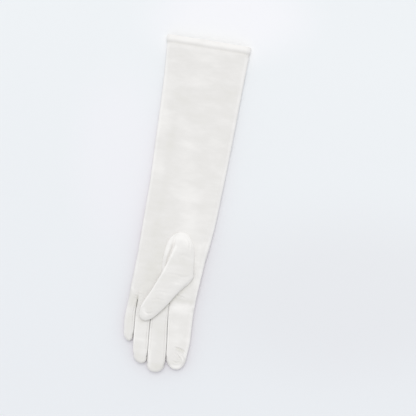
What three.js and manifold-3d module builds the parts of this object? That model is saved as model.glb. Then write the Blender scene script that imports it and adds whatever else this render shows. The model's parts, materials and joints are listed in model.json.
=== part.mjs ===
import * as THREE from 'three';
import { mergeVertices } from 'three/addons/utils/BufferGeometryUtils.js';
import Module from 'manifold-3d';

// A long faux suede dress glove for the left hand, lying palm up on a flat surface.
// Millimetres. +Z is up, +Y runs towards the open mouth of the sleeve, +X is the thumb's side.
// Lengths along the glove are given as reach: the distance from the mouth towards the fingertips.

const wasm = await Module();
wasm.setup();

// Driving dimensions
const gloveLength = 441.5;
const clothWall = 1.2;
const pieceGap = 0.3;
const hemReach = 9.5;
const hemWall = 2.2;
const hemStandsProud = 0.4;
const trankParting = 1.7;
const thumbParting = 12.45;
const palmEnd = 348;
const fingerRoot = 332;
const fingerHeight = 9;
const fingertipHeight = 5;
const stationStep = 14;
const overrun = 6;

// The sleeve and palm, one row for each station: both edges and the height of the crown.
const sleeveRows = [
  { reach: 0, left: -55.8, right: 55.8, top: 10.6 },
  { reach: 32, left: -52.8, right: 54.5, top: 10.2 },
  { reach: 86, left: -49.6, right: 52.8, top: 9.6 },
  { reach: 140, left: -48.8, right: 51.2, top: 9.6 },
  { reach: 192, left: -47.2, right: 49, top: 9.8 },
  { reach: 235, left: -47.8, right: 46.9, top: 10.2 },
  { reach: 264, left: -47.8, right: 44.3, top: 10.6 },
  { reach: 287, left: -47.8, right: 41.4, top: 10.8 },
  { reach: 307, left: -48.4, right: 40.5, top: 10.6 },
  { reach: 325, left: -49.1, right: 39.9, top: 10.1 },
  { reach: 338, left: -50, right: 38.4, top: 9.2 },
  { reach: palmEnd, left: -50.4, right: 37, top: 7.2 },
];

// The four fingers, from the root inside the palm to the last row before the round tip.
const fingers = [
  {
    name: 'little',
    rows: [
      { reach: fingerRoot, left: -49.2, right: -38.8 },
      { reach: 352, left: -50.6, right: -39.5 },
      { reach: 364, left: -51.2, right: -39.1 },
      { reach: 377, left: -51.6, right: -38.1 },
      { reach: 392, left: -50, right: -37.2 },
    ],
    tip: { reach: 405.2, x: -41.4 },
  },
  {
    name: 'ring',
    rows: [
      { reach: fingerRoot, left: -39.4, right: -17.6 },
      { reach: 352, left: -38.1, right: -18.5 },
      { reach: 364, left: -37.9, right: -18.3 },
      { reach: 380, left: -36.9, right: -17.8 },
      { reach: 402, left: -35.4, right: -16.1 },
      { reach: 416, left: -33.3, right: -14.9 },
    ],
    tip: { reach: 431.8, x: -21.4 },
  },
  {
    name: 'middle',
    rows: [
      { reach: fingerRoot, left: -18.4, right: 3.8 },
      { reach: 355, left: -17.6, right: 3.2 },
      { reach: 378, left: -17, right: 5.3 },
      { reach: 402, left: -15.2, right: 8.1 },
      { reach: 423, left: -13.5, right: 9.8 },
    ],
    tip: { reach: gloveLength, x: -1 },
  },
  {
    name: 'index',
    rows: [
      { reach: fingerRoot, left: 2.8, right: 38.2 },
      { reach: 354, left: 4.1, right: 36.8 },
      { reach: 376, left: 6.1, right: 37.5 },
      { reach: 396, left: 8.7, right: 38.3 },
      { reach: 412, left: 10.2, right: 37.2 },
    ],
    tip: { reach: 433.6, x: 24.4 },
  },
];

// The strips between the fingers: the two fingers that each one joins.
const fourchettes = [
  { name: 'fourchette_ring_little', outer: 'little', inner: 'ring' },
  { name: 'fourchette_middle_ring', outer: 'ring', inner: 'middle' },
  { name: 'fourchette_index_middle', outer: 'middle', inner: 'index' },
];
const fourchetteLow = 1.9;
const fourchetteHigh = 6.1;
const fourchetteStart = 340;
const fourchetteShortOfTip = 8;

// The thumb, folded across the palm: its middle line, half width, underside and crown.
const thumbRows = [
  { reach: 253, x: 6.5, half: 6, base: 6, top: 12.4 },
  { reach: 258, x: 7, half: 12, base: 6, top: 14.6 },
  { reach: 267, x: 8, half: 16.4, base: 6, top: 16.6 },
  { reach: 280, x: 9, half: 19.4, base: 6, top: 18 },
  { reach: 296, x: 9, half: 20.8, base: 6, top: 19.2 },
  { reach: 307, x: 6.8, half: 20.2, base: 6, top: 19.8 },
  { reach: 317, x: 2, half: 19, base: 7, top: 20 },
  { reach: 331, x: -4.6, half: 15.6, base: 8.4, top: 19.8 },
  { reach: 347, x: -13.2, half: 14.7, base: 9.6, top: 19.2 },
  { reach: 360, x: -20.4, half: 12.2, base: 9.6, top: 18.2 },
  { reach: 368.5, x: -23, half: 10, base: 9.7, top: 16.8 },
  { reach: 374, x: -25.2, half: 4.6, base: 10, top: 14.6 },
];
const thumbHole = { reach: 284, x: 8.5, halfAcross: 14, halfAlong: 24, low: 5, high: 12.1 };

// Shallow folds and hollows in the upper layer, one row for each.
// turn is the angle of the fold's long way, from the glove's length towards +X.
const folds = [
  { where: 'sleeve near the mouth', reach: 46, x: -18, turn: 62, halfLong: 34, halfWide: 11, depth: 1 },
  { where: 'sleeve, soft hollow', reach: 114, x: -22, turn: 8, halfLong: 42, halfWide: 15, depth: 0.9 },
  { where: 'sleeve, soft hollow', reach: 178, x: 18, turn: -10, halfLong: 40, halfWide: 16, depth: 0.7 },
  { where: 'palm beside the thumb', reach: 294, x: -24, turn: -14, halfLong: 36, halfWide: 11, depth: 1.3 },
  { where: 'root of the index finger', reach: 332, x: 24, turn: 84, halfLong: 20, halfWide: 8, depth: 1.1 },
];

// Section shape: a flat foot, a small rolled corner and a soft crown.
const crownSegments = 14;
const fingerCrownSegments = 10;
const cornerSegments = 2;
const crownSquareness = 2.6;
const sleeveEdgeHeight = 2.7;
const sleeveCorner = 4.2;
const fingerEdgeHeight = 3.4;
const fingerCorner = 3;
const thumbEdgeShare = 0.42;
const thumbCorner = 3.4;
const tipRoundness = 2.5;
const tipSteps = [0.3, 0.55, 0.76, 0.91, 1];
const tipBluntness = 0.985;

const suede = new THREE.MeshStandardMaterial({ color: 0xebe8e2, roughness: 0.95, metalness: 0 });

// How far the upper layer dips below its crown at a place on the glove.
function foldDepth(x, reach) {
  let depth = 0;
  for (const fold of folds) {
    const turn = THREE.MathUtils.degToRad(fold.turn);
    const alongGlove = reach - fold.reach;
    const acrossGlove = x - fold.x;
    const along = alongGlove * Math.cos(turn) + acrossGlove * Math.sin(turn);
    const across = acrossGlove * Math.cos(turn) - alongGlove * Math.sin(turn);
    depth += fold.depth * Math.exp(-((along / fold.halfLong) ** 2) - (across / fold.halfWide) ** 2);
  }
  return depth;
}

// One section as points across and up, from its +X edge over the crown to the -X edge and back
// under the flat foot.
function sectionPoints(shape) {
  const points = [];
  const middle = (shape.left + shape.right) / 2;
  const half = (shape.right - shape.left) / 2;
  for (let i = 0; i <= shape.crownSegments; i += 1) {
    const angle = (Math.PI * i) / shape.crownSegments;
    const side = Math.sign(Math.cos(angle)) * Math.abs(Math.cos(angle)) ** (2 / crownSquareness);
    const lift = Math.sin(angle);
    points.push({ across: middle + half * side, up: shape.edge + (shape.top - shape.edge) * lift, lift });
  }
  const corner = Math.min(shape.corner, half * 0.6);
  for (const side of [-1, 1]) {
    for (let i = 1; i <= cornerSegments; i += 1) {
      const step = side < 0 ? i : cornerSegments + 1 - i;
      const angle = (Math.PI / 2) * (step / cornerSegments);
      const across = middle + side * (half - corner + corner * Math.cos(angle));
      points.push({ across, up: shape.edge - (shape.edge - shape.base) * Math.sin(angle), lift: 0 });
    }
  }
  return points;
}

// Values of a table at any reach, along a smooth curve through its rows.
function rowAt(rows, reach, columns) {
  let index = rows.findIndex((row) => row.reach >= reach);
  if (index < 1) {
    index = index < 0 ? rows.length - 1 : 1;
  }
  const before = rows[index - 1];
  const after = rows[index];
  const share = THREE.MathUtils.clamp((reach - before.reach) / (after.reach - before.reach), 0, 1);
  const slope = (near, far, column) => (far[column] - near[column]) / (far.reach - near.reach);
  const values = { reach };
  for (const column of columns) {
    const span = after.reach - before.reach;
    const slopeHere = slope(before, after, column);
    const slopeBefore = index > 1 ? slope(rows[index - 2], after, column) : slopeHere;
    const slopeAfter = index < rows.length - 1 ? slope(before, rows[index + 1], column) : slopeHere;
    const s = share;
    values[column] = (2 * s ** 3 - 3 * s ** 2 + 1) * before[column]
      + (s ** 3 - 2 * s ** 2 + s) * span * slopeBefore
      + (3 * s ** 2 - 2 * s ** 3) * after[column]
      + (s ** 3 - s ** 2) * span * slopeAfter;
  }
  return values;
}

// A closed skin through rings that all have the same number of points.
function loft(rings) {
  const count = rings[0].length;
  const positions = [];
  for (const ring of rings) {
    for (const point of ring) {
      positions.push(point.x, point.y, point.z);
    }
  }
  const indices = [];
  for (let k = 0; k < rings.length - 1; k += 1) {
    for (let i = 0; i < count; i += 1) {
      const next = (i + 1) % count;
      const a = k * count + i;
      const b = k * count + next;
      const c = (k + 1) * count + next;
      const d = (k + 1) * count + i;
      indices.push(a, b, d, b, c, d);
    }
  }
  for (const end of [0, rings.length - 1]) {
    const middle = new THREE.Vector3();
    for (const point of rings[end]) {
      middle.addScaledVector(point, 1 / count);
    }
    const centre = positions.length / 3;
    positions.push(middle.x, middle.y, middle.z);
    for (let i = 0; i < count; i += 1) {
      const here = end * count + i;
      const next = end * count + ((i + 1) % count);
      if (end === 0) {
        indices.push(centre, next, here);
      } else {
        indices.push(centre, here, next);
      }
    }
  }
  const geometry = new THREE.BufferGeometry();
  geometry.setAttribute('position', new THREE.Float32BufferAttribute(positions, 3));
  geometry.setIndex(indices);
  return geometry;
}

// A closed geometry as a solid that can be joined and cut.
function solid(geometry) {
  const plain = geometry.clone();
  plain.deleteAttribute('normal');
  plain.deleteAttribute('uv');
  const merged = mergeVertices(plain, 1e-5);
  const triVerts = new Uint32Array(merged.index.array);
  const vertProperties = new Float32Array(merged.attributes.position.array);
  return new wasm.Manifold(new wasm.Mesh({ numProp: 3, vertProperties, triVerts }));
}

// A solid as a named mesh of the scene.
function clothMesh(name, body) {
  const result = body.getMesh();
  const geometry = new THREE.BufferGeometry();
  geometry.setAttribute('position', new THREE.BufferAttribute(result.vertProperties, 3));
  geometry.setIndex(new THREE.BufferAttribute(result.triVerts, 1));
  geometry.computeVertexNormals();
  const mesh = new THREE.Mesh(geometry, suede);
  mesh.name = name;
  return mesh;
}

function yOf(reach) {
  return gloveLength / 2 - reach;
}

// The sleeve and palm as a solid, drawn in by inset on every side (or grown if it is negative).
// Its flat foot is at the height foot.
function handBody(from, to, inset, foot) {
  const steps = Math.ceil((to - from) / stationStep);
  const rings = [];
  for (let k = 0; k <= steps; k += 1) {
    const reach = from + ((to - from) * k) / steps;
    const row = rowAt(sleeveRows, reach, ['left', 'right', 'top']);
    const section = sectionPoints({
      left: row.left + inset,
      right: row.right - inset,
      base: foot,
      edge: sleeveEdgeHeight,
      top: row.top - inset,
      corner: sleeveCorner - inset,
      crownSegments,
    });
    rings.push(section.map((point) => new THREE.Vector3(
      point.across,
      yOf(reach),
      point.up - point.lift * foldDepth(point.across, reach),
    )));
  }
  return solid(loft(rings));
}

// One finger as a solid, drawn in by inset: straight rows, then a blunt round tip.
function fingerBody(finger, inset) {
  const last = finger.rows[finger.rows.length - 1];
  const shapes = [];
  const straightSteps = Math.ceil((last.reach - fingerRoot) / stationStep);
  for (let k = 0; k <= straightSteps; k += 1) {
    const reach = fingerRoot + ((last.reach - fingerRoot) * k) / straightSteps;
    const row = rowAt(finger.rows, reach, ['left', 'right']);
    shapes.push({ reach, left: row.left, right: row.right, top: fingerHeight });
  }
  const tipLength = finger.tip.reach - last.reach;
  for (const s of tipSteps) {
    const round = Math.sqrt(1 - (s * tipBluntness) ** tipRoundness);
    const half = ((last.right - last.left) / 2) * round;
    const middle = THREE.MathUtils.lerp((last.left + last.right) / 2, finger.tip.x, s);
    const top = fingertipHeight + (fingerHeight - fingertipHeight) * round;
    shapes.push({ reach: last.reach + tipLength * s, left: middle - half, right: middle + half, top });
  }
  const shrink = (tipLength - inset) / tipLength;
  const rings = shapes.map((shape) => {
    const half = Math.max((shape.right - shape.left) / 2 - inset, 0.5);
    const middle = (shape.left + shape.right) / 2;
    const past = Math.max(shape.reach - last.reach, 0);
    const reach = shape.reach - past + past * shrink;
    const section = sectionPoints({
      left: middle - half,
      right: middle + half,
      base: inset,
      edge: fingerEdgeHeight,
      top: shape.top - inset,
      corner: fingerCorner - inset,
      crownSegments: fingerCrownSegments,
    });
    return section.map((point) => new THREE.Vector3(point.across, yOf(reach), point.up));
  });
  return solid(loft(rings));
}

// The thumb as a solid, drawn in by inset: sections square to its curved middle line.
function thumbBody(inset) {
  const points = thumbRows.map((row) => new THREE.Vector3(row.x, yOf(row.reach), 0));
  const rings = thumbRows.map((row, k) => {
    const before = points[Math.max(k - 1, 0)];
    const after = points[Math.min(k + 1, points.length - 1)];
    const along = after.clone().sub(before).normalize();
    const across = new THREE.Vector3(-along.y, along.x, 0);
    const atEnd = k === 0 ? 1 : Number(k === points.length - 1) * -1;
    const middle = points[k].clone().addScaledVector(along, atEnd * inset);
    const half = Math.max(row.half - inset, 0.5);
    const section = sectionPoints({
      left: -half,
      right: half,
      base: row.base + inset,
      edge: row.base + (row.top - row.base) * thumbEdgeShare,
      top: row.top - inset,
      corner: thumbCorner - inset,
      crownSegments: fingerCrownSegments,
    });
    return section.map((point) => middle.clone().addScaledVector(across, point.across).setZ(point.up));
  });
  return solid(loft(rings));
}

// The whole hand, palm and fingers, drawn in by inset.
function wholeHand(from, inset) {
  let body = handBody(from, palmEnd - inset, inset, inset);
  for (const finger of fingers) {
    body = body.add(fingerBody(finger, inset));
  }
  return body;
}

// The space of one strip between two fingers: half of each finger, at mid height.
function fourchetteSpace(strip, grow) {
  const outer = fingers.find((finger) => finger.name === strip.outer);
  const inner = fingers.find((finger) => finger.name === strip.inner);
  const legs = [outer, inner].map((finger, side) => {
    const root = finger.rows[0];
    const last = finger.rows[finger.rows.length - 1];
    const end = finger.tip.reach - fourchetteShortOfTip + grow;
    const rootMiddle = (root.left + root.right) / 2;
    const lastMiddle = (last.left + last.right) / 2;
    const beside = side === 0 ? root.right : root.left;
    const besideLast = side === 0 ? last.right + 1 : last.left - 1;
    const outline = new THREE.Shape([
      new THREE.Vector2(beside, yOf(fourchetteStart - grow)),
      new THREE.Vector2(rootMiddle, yOf(fourchetteStart - grow)),
      new THREE.Vector2(lastMiddle, yOf(end)),
      new THREE.Vector2(besideLast, yOf(end)),
    ]);
    const depth = fourchetteHigh - fourchetteLow + 2 * grow;
    const prism = new THREE.ExtrudeGeometry(outline, { depth, bevelEnabled: false });
    prism.translate(0, 0, fourchetteLow - grow);
    return solid(prism);
  });
  return legs[0].add(legs[1]);
}

function thumbHolePrism() {
  const outline = new THREE.Shape();
  outline.absellipse(thumbHole.x, yOf(thumbHole.reach), thumbHole.halfAcross, thumbHole.halfAlong, 0, Math.PI * 2);
  const prism = new THREE.ExtrudeGeometry(outline, {
    depth: thumbHole.high - thumbHole.low,
    bevelEnabled: false,
    curveSegments: 10,
  });
  prism.translate(0, 0, thumbHole.low);
  return solid(prism);
}

// The parts of a piece above and below a flat parting, with the seam's gap between them
function above(piece, height) {
  return piece.trimByPlane([0, 0, 1], height + pieceGap / 2);
}

function below(piece, height) {
  return piece.trimByPlane([0, 0, -1], pieceGap / 2 - height);
}

// Trank and fourchettes: one hollow shell, cut apart at the finger seams
const handShell = wholeHand(hemReach + pieceGap, 0).subtract(wholeHand(-overrun, clothWall));
let trank = handShell.subtract(thumbHolePrism());
const fourchetteMeshes = [];
for (const strip of fourchettes) {
  trank = trank.subtract(fourchetteSpace(strip, pieceGap));
  fourchetteMeshes.push(clothMesh(strip.name, handShell.intersect(fourchetteSpace(strip, 0))));
}

// The trank's palm side, with its rolled edges, and its flat back
const trankPalm = above(trank, trankParting);
const trankBack = below(trank, trankParting);

// Hem: the double edge round the mouth, flush with the trank underneath
const hemInset = hemWall - hemStandsProud;
const hemOuter = handBody(0, hemReach, -hemStandsProud, 0);
const hem = hemOuter.subtract(handBody(-overrun, hemReach + overrun, hemInset, hemInset));

// Thumb: a hollow sheath that lies on the palm and opens into it through the oval hole
const thumbOuter = thumbBody(0).subtract(wholeHand(hemReach, -pieceGap));
const thumbInner = thumbBody(clothWall).subtract(wholeHand(hemReach, -pieceGap - clothWall));
const thumb = thumbOuter.subtract(thumbInner).subtract(thumbHolePrism());
const thumbUpper = above(thumb, thumbParting);
const thumbUnder = below(thumb, thumbParting);

const glove = new THREE.Group();
glove.add(clothMesh('trank_palm', trankPalm), clothMesh('trank_back', trankBack), clothMesh('hem', hem));
glove.add(clothMesh('thumb_upper', thumbUpper), clothMesh('thumb_under', thumbUnder), ...fourchetteMeshes);

// The origin is under the middle of the glove, on the surface that it lies on
const extent = new THREE.Box3().setFromObject(glove);
glove.position.set(-(extent.min.x + extent.max.x) / 2, -(extent.min.y + extent.max.y) / 2, -extent.min.z);

export default glove;
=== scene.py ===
# %% [markdown]
# # A long faux suede dress glove, laid palm up
# The real glove is cut flat and sewn: one large piece of cloth, the trank, makes the sleeve, the palm,
# the back and the fronts and backs of the fingers. Narrow strips, the fourchettes, join the fingers'
# fronts to their backs. The thumb is a piece of its own, sewn into an oval hole in the palm. The edge of
# the mouth is turned in and stitched. This script makes the same pieces in the same order. Lengths along
# the glove are called reach, and are measured from the mouth towards the fingertips, in millimetres, as a
# glove cutter would. They become metres at the end.

import json
import math

import bpy
import numpy as np
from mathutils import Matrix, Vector, noise

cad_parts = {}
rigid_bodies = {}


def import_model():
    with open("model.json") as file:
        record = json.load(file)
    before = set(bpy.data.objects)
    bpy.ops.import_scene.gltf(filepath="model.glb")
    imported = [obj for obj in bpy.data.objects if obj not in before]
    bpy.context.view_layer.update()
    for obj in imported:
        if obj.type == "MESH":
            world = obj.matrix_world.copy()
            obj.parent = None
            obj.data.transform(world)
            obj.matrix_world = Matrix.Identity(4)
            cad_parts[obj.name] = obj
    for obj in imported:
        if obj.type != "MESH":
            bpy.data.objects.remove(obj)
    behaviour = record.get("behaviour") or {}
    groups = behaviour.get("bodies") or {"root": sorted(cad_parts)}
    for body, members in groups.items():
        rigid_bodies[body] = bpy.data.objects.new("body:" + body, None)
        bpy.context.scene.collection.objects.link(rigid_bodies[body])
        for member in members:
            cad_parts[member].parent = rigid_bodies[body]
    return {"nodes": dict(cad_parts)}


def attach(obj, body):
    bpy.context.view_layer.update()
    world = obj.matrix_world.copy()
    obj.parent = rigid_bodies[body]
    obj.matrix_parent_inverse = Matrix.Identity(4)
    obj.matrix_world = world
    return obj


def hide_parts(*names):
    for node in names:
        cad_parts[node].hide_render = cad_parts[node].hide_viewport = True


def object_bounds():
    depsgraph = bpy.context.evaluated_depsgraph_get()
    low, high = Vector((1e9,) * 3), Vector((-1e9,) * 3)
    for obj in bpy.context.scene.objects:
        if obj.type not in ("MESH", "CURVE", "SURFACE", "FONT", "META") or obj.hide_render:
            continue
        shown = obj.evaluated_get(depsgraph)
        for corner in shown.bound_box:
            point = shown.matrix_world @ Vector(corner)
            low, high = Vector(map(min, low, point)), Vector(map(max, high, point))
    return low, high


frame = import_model()
CAD_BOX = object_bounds()
MM = 0.001
GLOVE_LENGTH = round((CAD_BOX[1].y - CAD_BOX[0].y) / MM, 1)
print("glove", GLOVE_LENGTH, "mm long, nodes in the frame:", ", ".join(sorted(frame["nodes"])))

# %% [markdown]
# ## Helpers for modelling by hand
# An operator acts on everything that is selected, so each step first deselects all, then selects what it
# needs by place. These few helpers keep the later cells short.

# %% Selecting and editing
def deselect_all():
    if bpy.context.object and bpy.context.object.mode != "OBJECT":
        bpy.ops.object.mode_set(mode="OBJECT")
    bpy.ops.object.select_all(action="DESELECT")


def make_active(piece):
    deselect_all()
    piece.select_set(True)
    bpy.context.view_layer.objects.active = piece


def edit_all(piece):
    """Goes into edit mode with the whole mesh selected."""
    make_active(piece)
    bpy.ops.object.mode_set(mode="EDIT")
    bpy.ops.mesh.select_all(action="SELECT")


def leave_edit():
    bpy.ops.object.mode_set(mode="OBJECT")


def named(piece, name):
    piece.name = piece.data.name = name
    return piece


def select_only(piece, kind, chosen):
    """Leaves only the chosen faces or edges selected, and goes into edit mode in that kind of selection."""
    make_active(piece)
    bpy.ops.object.mode_set(mode="EDIT")
    bpy.ops.mesh.select_mode(type=kind)
    bpy.ops.mesh.select_all(action="DESELECT")
    leave_edit()
    elements = piece.data.polygons if kind == "FACE" else piece.data.edges
    elements.foreach_set("select", np.asarray(chosen, dtype=bool))
    bpy.ops.object.mode_set(mode="EDIT")


# %% Reading and moving vertices
def vertex_places(piece):
    flat = np.empty(len(piece.data.vertices) * 3)
    piece.data.vertices.foreach_get("co", flat)
    return flat.reshape(-1, 3)


def put_vertices(piece, places):
    piece.data.vertices.foreach_set("co", np.ascontiguousarray(places, dtype=np.float32).ravel())
    piece.data.update()


def face_corners(piece):
    """The places of each face's corners, one array for each face."""
    places = vertex_places(piece)
    return [places[list(face.vertices)] for face in piece.data.polygons]


# %% [markdown]
# ## The glove's measures
# Two tables give the outline: the two edges of the sleeve and palm at a few stations, and the edges of
# the four fingers down to a round tip. They follow the solid model's and are fitted a little closer to
# the photograph. A smooth curve runs through each column of a table.

# %% Tables of the outline
def table(columns, *rows):
    """A table whose columns are named once: a dictionary for each row."""
    return [dict(zip(columns.split(), row)) for row in rows]


SLEEVE_ROWS = table(
    "reach left right top",
    (0, -55.8, 55.8, 10.6),
    (32, -52.8, 54.5, 10.2),
    (86, -50.4, 52.8, 9.6),
    (140, -49.2, 51.2, 9.6),
    (192, -47.7, 49.0, 9.8),
    (235, -48.2, 46.9, 10.2),
    (264, -48.3, 44.3, 10.6),
    (287, -48.4, 41.4, 10.8),
    (307, -48.8, 40.5, 10.6),
    (325, -49.1, 39.9, 10.1),
    (338, -50.0, 38.4, 9.6),
    (352, -50.6, 36.8, 9.2),
)
LITTLE_ROWS = table(
    "reach left right",
    (332, -49.2, -39.4),
    (352, -50.6, -38.7),
    (364, -51.2, -38.7),
    (377, -51.6, -37.7),
    (392, -50.0, -36.9),
)
RING_ROWS = table(
    "reach left right",
    (332, -38.4, -18.4),
    (352, -38.1, -18.1),
    (364, -38.5, -18.0),
    (380, -37.45, -17.4),
    (402, -35.6, -15.65),
    (416, -33.4, -14.6),
)
MIDDLE_ROWS = table(
    "reach left right",
    (332, -18.0, 2.8),
    (355, -18.0, 3.55),
    (378, -17.4, 5.65),
    (402, -15.55, 8.6),
    (423, -13.6, 10.0),
)
INDEX_ROWS = table(
    "reach left right",
    (332, 3.2, 38.2),
    (354, 3.6, 36.8),
    (376, 5.6, 37.5),
    (396, 8.1, 38.3),
    (412, 9.7, 37.0),
)
# cells says how many cells of the pattern lie across a finger, and blunt how square its tip is
FINGERS = table(
    "name cells tip_x tip_reach blunt rows",
    ("little", 6, -41.4, 404.4, 2.6, LITTLE_ROWS),
    ("ring", 8, -21.4, 430.6, 3.4, RING_ROWS),
    ("middle", 9, -2.4, 439.4, 3.5, MIDDLE_ROWS),
    ("index", 11, 24.4, 431.9, 2.3, INDEX_ROWS),
)


def curve_through(rows, column, at, key="reach"):
    """The table's column at any place along key, on a smooth curve through its rows."""
    here = np.array([row[key] for row in rows], dtype=float)
    value = np.array([row[column] for row in rows], dtype=float)
    slope = np.empty(len(here))
    slope[1:-1] = (value[2:] - value[:-2]) / (here[2:] - here[:-2])
    slope[0] = (value[1] - value[0]) / (here[1] - here[0])
    slope[-1] = (value[-1] - value[-2]) / (here[-1] - here[-2])
    at = np.clip(np.asarray(at, dtype=float), here[0], here[-1])
    i = np.clip(np.searchsorted(here, at) - 1, 0, len(here) - 2)
    span = here[i + 1] - here[i]
    s = (at - here[i]) / span
    return (
        (2 * s**3 - 3 * s**2 + 1) * value[i]
        + (s**3 - 2 * s**2 + s) * span * slope[i]
        + (3 * s**2 - 2 * s**3) * value[i + 1]
        + (s**3 - s**2) * span * slope[i + 1]
    )


def smooth_step(low, high, at):
    s = np.clip((np.asarray(at, dtype=float) - low) / (high - low), 0, 1)
    return s * s * (3 - 2 * s)


def middle_and_half(rows, reach):
    """The middle of the sleeve or of a finger at a reach, and half its width there."""
    left, right = curve_through(rows, "left", reach), curve_through(rows, "right", reach)
    return (left + right) / 2, (right - left) / 2


def bell(away):
    """1 where away is 0, falling smoothly to nearly 0 where it is 2."""
    return np.exp(-(away**2))


print("hand", SLEEVE_ROWS[-1]["right"] - SLEEVE_ROWS[-1]["left"], "mm wide at the finger roots")

# %% [markdown]
# ## Creases and soft hollows
# Cloth that lies flat is never quite flat. A crease is drawn as a short stroke of a few points: its
# middle sinks and the cloth beside it rises a little, and it fades out at both ends. Broad hollows are
# strokes that are wide and shallow. A slow, seeded wave is added so that no part of the cloth is
# perfectly even.

# %% Tables of the strokes
# a path's points are x and reach, and all the measures are in millimetres
STROKES = table(
    "path width depth lip",
    # the root of the index finger: a broad fold and the puff that it holds up
    ([(11, 342), (24, 342.5), (38, 340)], 4.4, 1.3, 0.4),
    ([(13, 353), (20, 352), (28, 354)], 6.5, -0.9, 0.0),
    # the little finger's root
    ([(-49, 335), (-43, 336.5), (-38, 339)], 2.4, 1.1, 0.7),
    # beside the thumb, where the palm is slack
    ([(-20, 262), (-26, 296), (-30, 326)], 10.0, 1.1, 0.2),
    ([(-14, 316), (-26, 324), (-38, 326)], 4.5, 0.6, 0.3),
    # a soft diagonal fold near the mouth, and two slow hollows further down the sleeve
    ([(-44, 60), (-18, 46), (10, 38)], 9.0, 0.7, 0.3),
    ([(-24, 84), (-20, 114), (-22, 146)], 13.0, 0.7, 0.1),
    ([(14, 150), (18, 178), (24, 206)], 13.0, 0.6, 0.1),
)
FINE_STROKES = table(
    "path width depth lip",
    # a short sharp fold at the root of the index finger, which runs out from under the thumb
    ([(8, 333), (14, 335), (21, 337)], 1.1, 1.3, 0.5),
    # puckers where the little and ring fingers part
    ([(-44, 343.5), (-41, 344), (-37.5, 345)], 0.9, 0.8, 0.6),
    ([(-42, 340), (-38, 340.5), (-33, 341.5)], 1.0, 0.6, 0.5),
    # wrinkles at the tip of the index finger: one crescent, then short slanting ones
    ([(19, 402.6), (25, 403.2), (30, 404.5), (35, 408)], 1.1, 1.4, 0.6),
    ([(21, 409.5), (25, 412.5), (30, 418)], 1.0, 0.8, 0.6),
    ([(26, 408.5), (30, 412), (34, 417)], 1.0, 0.7, 0.6),
    ([(19, 420), (23, 422), (29, 421)], 1.0, 0.6, 0.5),
)
THUMB_STROKES = table(
    "path width depth lip",
    ([(13, 258), (17.5, 265), (18.5, 277)], 1.1, 0.6, 0.5),
    ([(6, 283), (12, 281), (20, 283)], 1.6, 0.5, 0.3),
    ([(-6, 309), (4, 308), (14, 310), (24, 308)], 1.5, 0.5, 0.5),
    ([(0, 318), (9, 317.5), (18, 319)], 1.3, 0.4, 0.4),
    ([(-19, 336), (-10, 333), (2, 334)], 1.4, 0.45, 0.45),
    ([(-21, 345), (-12, 343), (-3, 344)], 1.2, 0.5, 0.5),
    ([(-28, 361), (-22, 364), (-16, 362)], 1.3, 0.5, 0.5),
)
print(len(STROKES), "broad strokes,", len(FINE_STROKES), "fine ones,", len(THUMB_STROKES), "on the thumb")


# %% Pressing a stroke into the cloth
STROKE_ENDS = (0.03, 0.97)
STROKE_FADE = 0.6
LIP_PLACE = 1.7
CLOTH_WAVES = table("rise size seed", (0.55, 46, 3.1), (0.22, 15, 8.4))


def near_path(x, reach, path):
    """How far each place is from a path, and the share of the path, 0 to 1, at which it is nearest."""
    points = np.array(path, dtype=float)
    ways = np.diff(points, axis=0)
    lengths = np.linalg.norm(ways, axis=1)
    nearest, share = np.full(np.shape(x), np.inf), np.zeros(np.shape(x))
    run = 0.0
    for start, way, length in zip(points, ways, lengths):
        off_x, off_reach = x - start[0], reach - start[1]
        along = np.clip((off_x * way[0] + off_reach * way[1]) / length**2, 0, 1)
        distance = np.hypot(off_x - along * way[0], off_reach - along * way[1])
        share = np.where(distance < nearest, (run + along * length) / lengths.sum(), share)
        nearest = np.minimum(nearest, distance)
        run += length
    return nearest, share


def stroke_depth(x, reach, stroke):
    """How far one stroke moves the cloth up or down at each place."""
    distance, along = near_path(x, reach, stroke["path"])
    fade = np.sin(np.pi * np.clip(along, *STROKE_ENDS)) ** STROKE_FADE
    away = distance / stroke["width"]
    return fade * (stroke["lip"] * bell(away - LIP_PLACE) - stroke["depth"] * bell(away))


def waves(x, reach, rows):
    """Slow waves, the same in each run: every row has a rise and a size in millimetres, and a seed."""
    total = 0.0
    for row in rows:
        pairs = zip(np.ravel(x) / row["size"], np.ravel(reach) / row["size"])
        values = [noise.noise(Vector((a, b, row["seed"]))) for a, b in pairs]
        total = total + row["rise"] * np.reshape(values, np.shape(x))
    return total


def pressed(x, reach):
    """The slow waves and all the broad strokes of the cloth together."""
    total = waves(x, reach, CLOTH_WAVES)
    for stroke in STROKES:
        total = total + stroke_depth(x, reach, stroke)
    return total


print("the deepest stroke sinks", max(stroke["depth"] for stroke in STROKES + FINE_STROKES), "mm")

# %% [markdown]
# ## The height of the upper cloth
# Across the sleeve the upper cloth is a soft crown between two folded edges. Past the palm it divides
# into one crown for each finger, with a dip that deepens towards each crotch.

# %% The crown
ROUNDNESS = 2.3
SLEEVE_EDGE = 2.7
SLEEVE_ROLL = 8.0
FINGER_EDGE = 3.4
FINGER_ROLL = 3.2
FINGER_TOP = 9.0
BETWEEN_FINGERS = 5.0
SAG = 0.09
CROTCH = 347.0
CROWNS_DIVIDE = (322.0, CROTCH + 3)
HEM_REACH = 9.7
HEM_HOLDS = (HEM_REACH + 1, HEM_REACH + 22)
GROOVE = {"width": 1.9, "depth": 0.7}
RIDGE = {"behind": 3.5, "width": 1.5, "rise": 0.4}


def crown(share, half, roll, edge, top):
    """Height at a share of the way from the middle (0) to the folded edge (1): nearly flat, then rolled over.

    roll is how far in from the edge the cloth starts to turn down."""
    share = np.clip(np.abs(share), 0, 1)
    into = 1 - np.clip((1 - share) * half / np.minimum(roll, half), 0, 1)
    top = top - SAG * (top - edge) * share**2
    return edge + (top - edge) * np.sqrt(1 - into**ROUNDNESS)


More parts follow.
